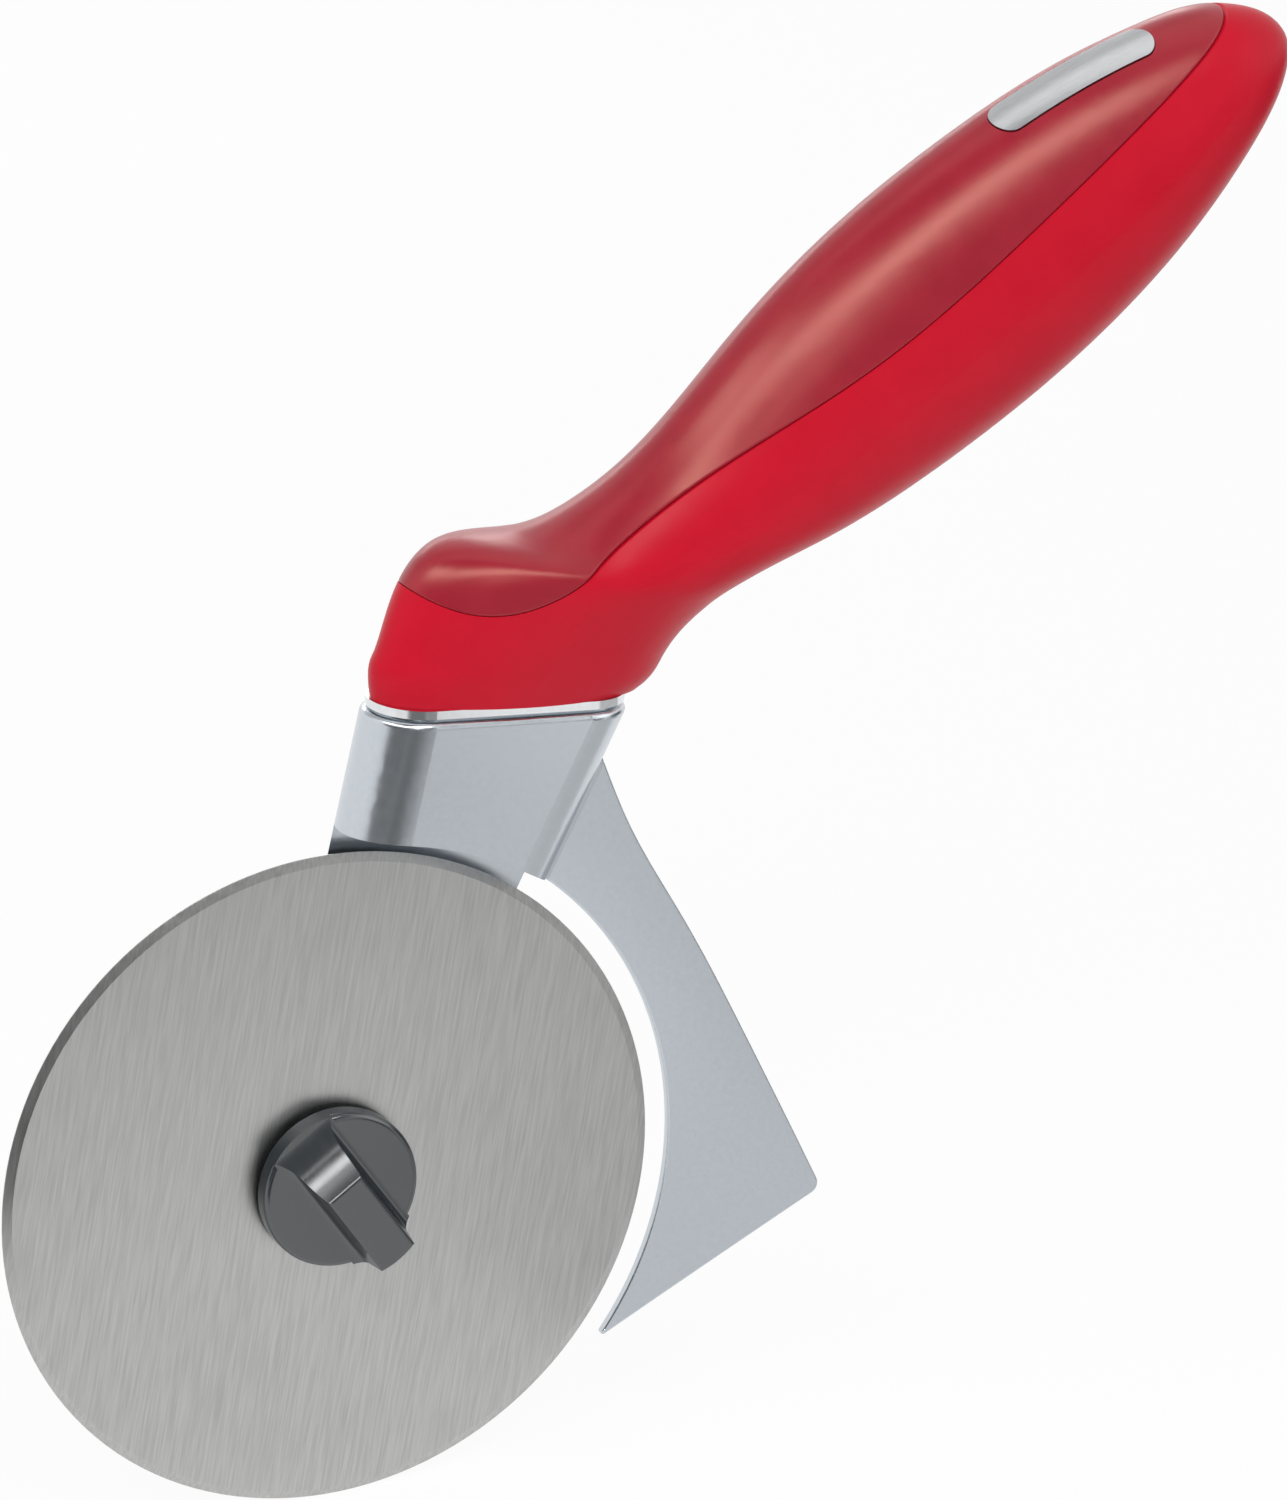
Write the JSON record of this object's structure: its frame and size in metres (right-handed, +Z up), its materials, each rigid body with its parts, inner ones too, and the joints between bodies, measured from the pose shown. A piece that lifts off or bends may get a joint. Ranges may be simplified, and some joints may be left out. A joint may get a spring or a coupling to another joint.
{
  "type": "pizza cutter wheel",
  "caption": "Round cutting wheel on a cast frame with a finger guard, a screw-off hub knob and a curved two-tone handle.",
  "frame": {"origin": "middle of the floor under the object's box, with the cutter standing upright on its wheel", "axes": "+Z up, +X from the wheel towards the handle's end, -Y towards the side with the knob; the wheel turns about Y"},
  "size_m": [0.1822, 0.0246, 0.1886],
  "materials": {
    "blade": "brushed stainless steel with a ground edge",
    "bush": "turned, plain",
    "washer": "natural nylon, plain",
    "steel": "turned steel",
    "knob": "dark glossy moulding",
    "casting": "satin plated die casting",
    "ring": "polished plate",
    "core": "moulded, hidden",
    "body_red": "smooth glossy moulding",
    "inlay_crimson": "soft satin moulding",
    "badge": "thin bare plate"
  },
  "bodies": {
    "frame": {"frame_casting": "casting", "hub_spindle": "steel", "rear_washer": "washer", "neck_ring": "ring", "tang_pins": "steel", "handle_core": "core", "handle_body": "body_red", "grip_inlay": "inlay_crimson", "badge_plate": "badge"},
    "wheel": {"blade": "blade", "blade_bush": "bush"},
    "knob_carrier": {"front_washer": "washer"},
    "knob": {"knob": "knob", "knob_screw": "steel"}
  },
  "joints": [
    {"name": "wheel_spin", "type": "hinge", "parent": "frame", "child": "wheel", "pos_m": [-0.0461, 0, 0.045], "axis": [0, 1, 0], "continuous": true},
    {"name": "hub_travel", "type": "slide", "parent": "frame", "child": "knob_carrier", "axis": [0, -1, 0], "range_m": [0, 0.0051]},
    {"name": "knob_turn", "type": "hinge", "parent": "knob_carrier", "child": "knob", "pos_m": [-0.0461, 0, 0.045], "axis": [0, -1, 0], "range_deg": [0, 1800]}
  ],
  "couplings": [
    {"joint": "hub_travel", "follows": "knob_turn", "m_per_rad": 0.00015915}
  ]
}
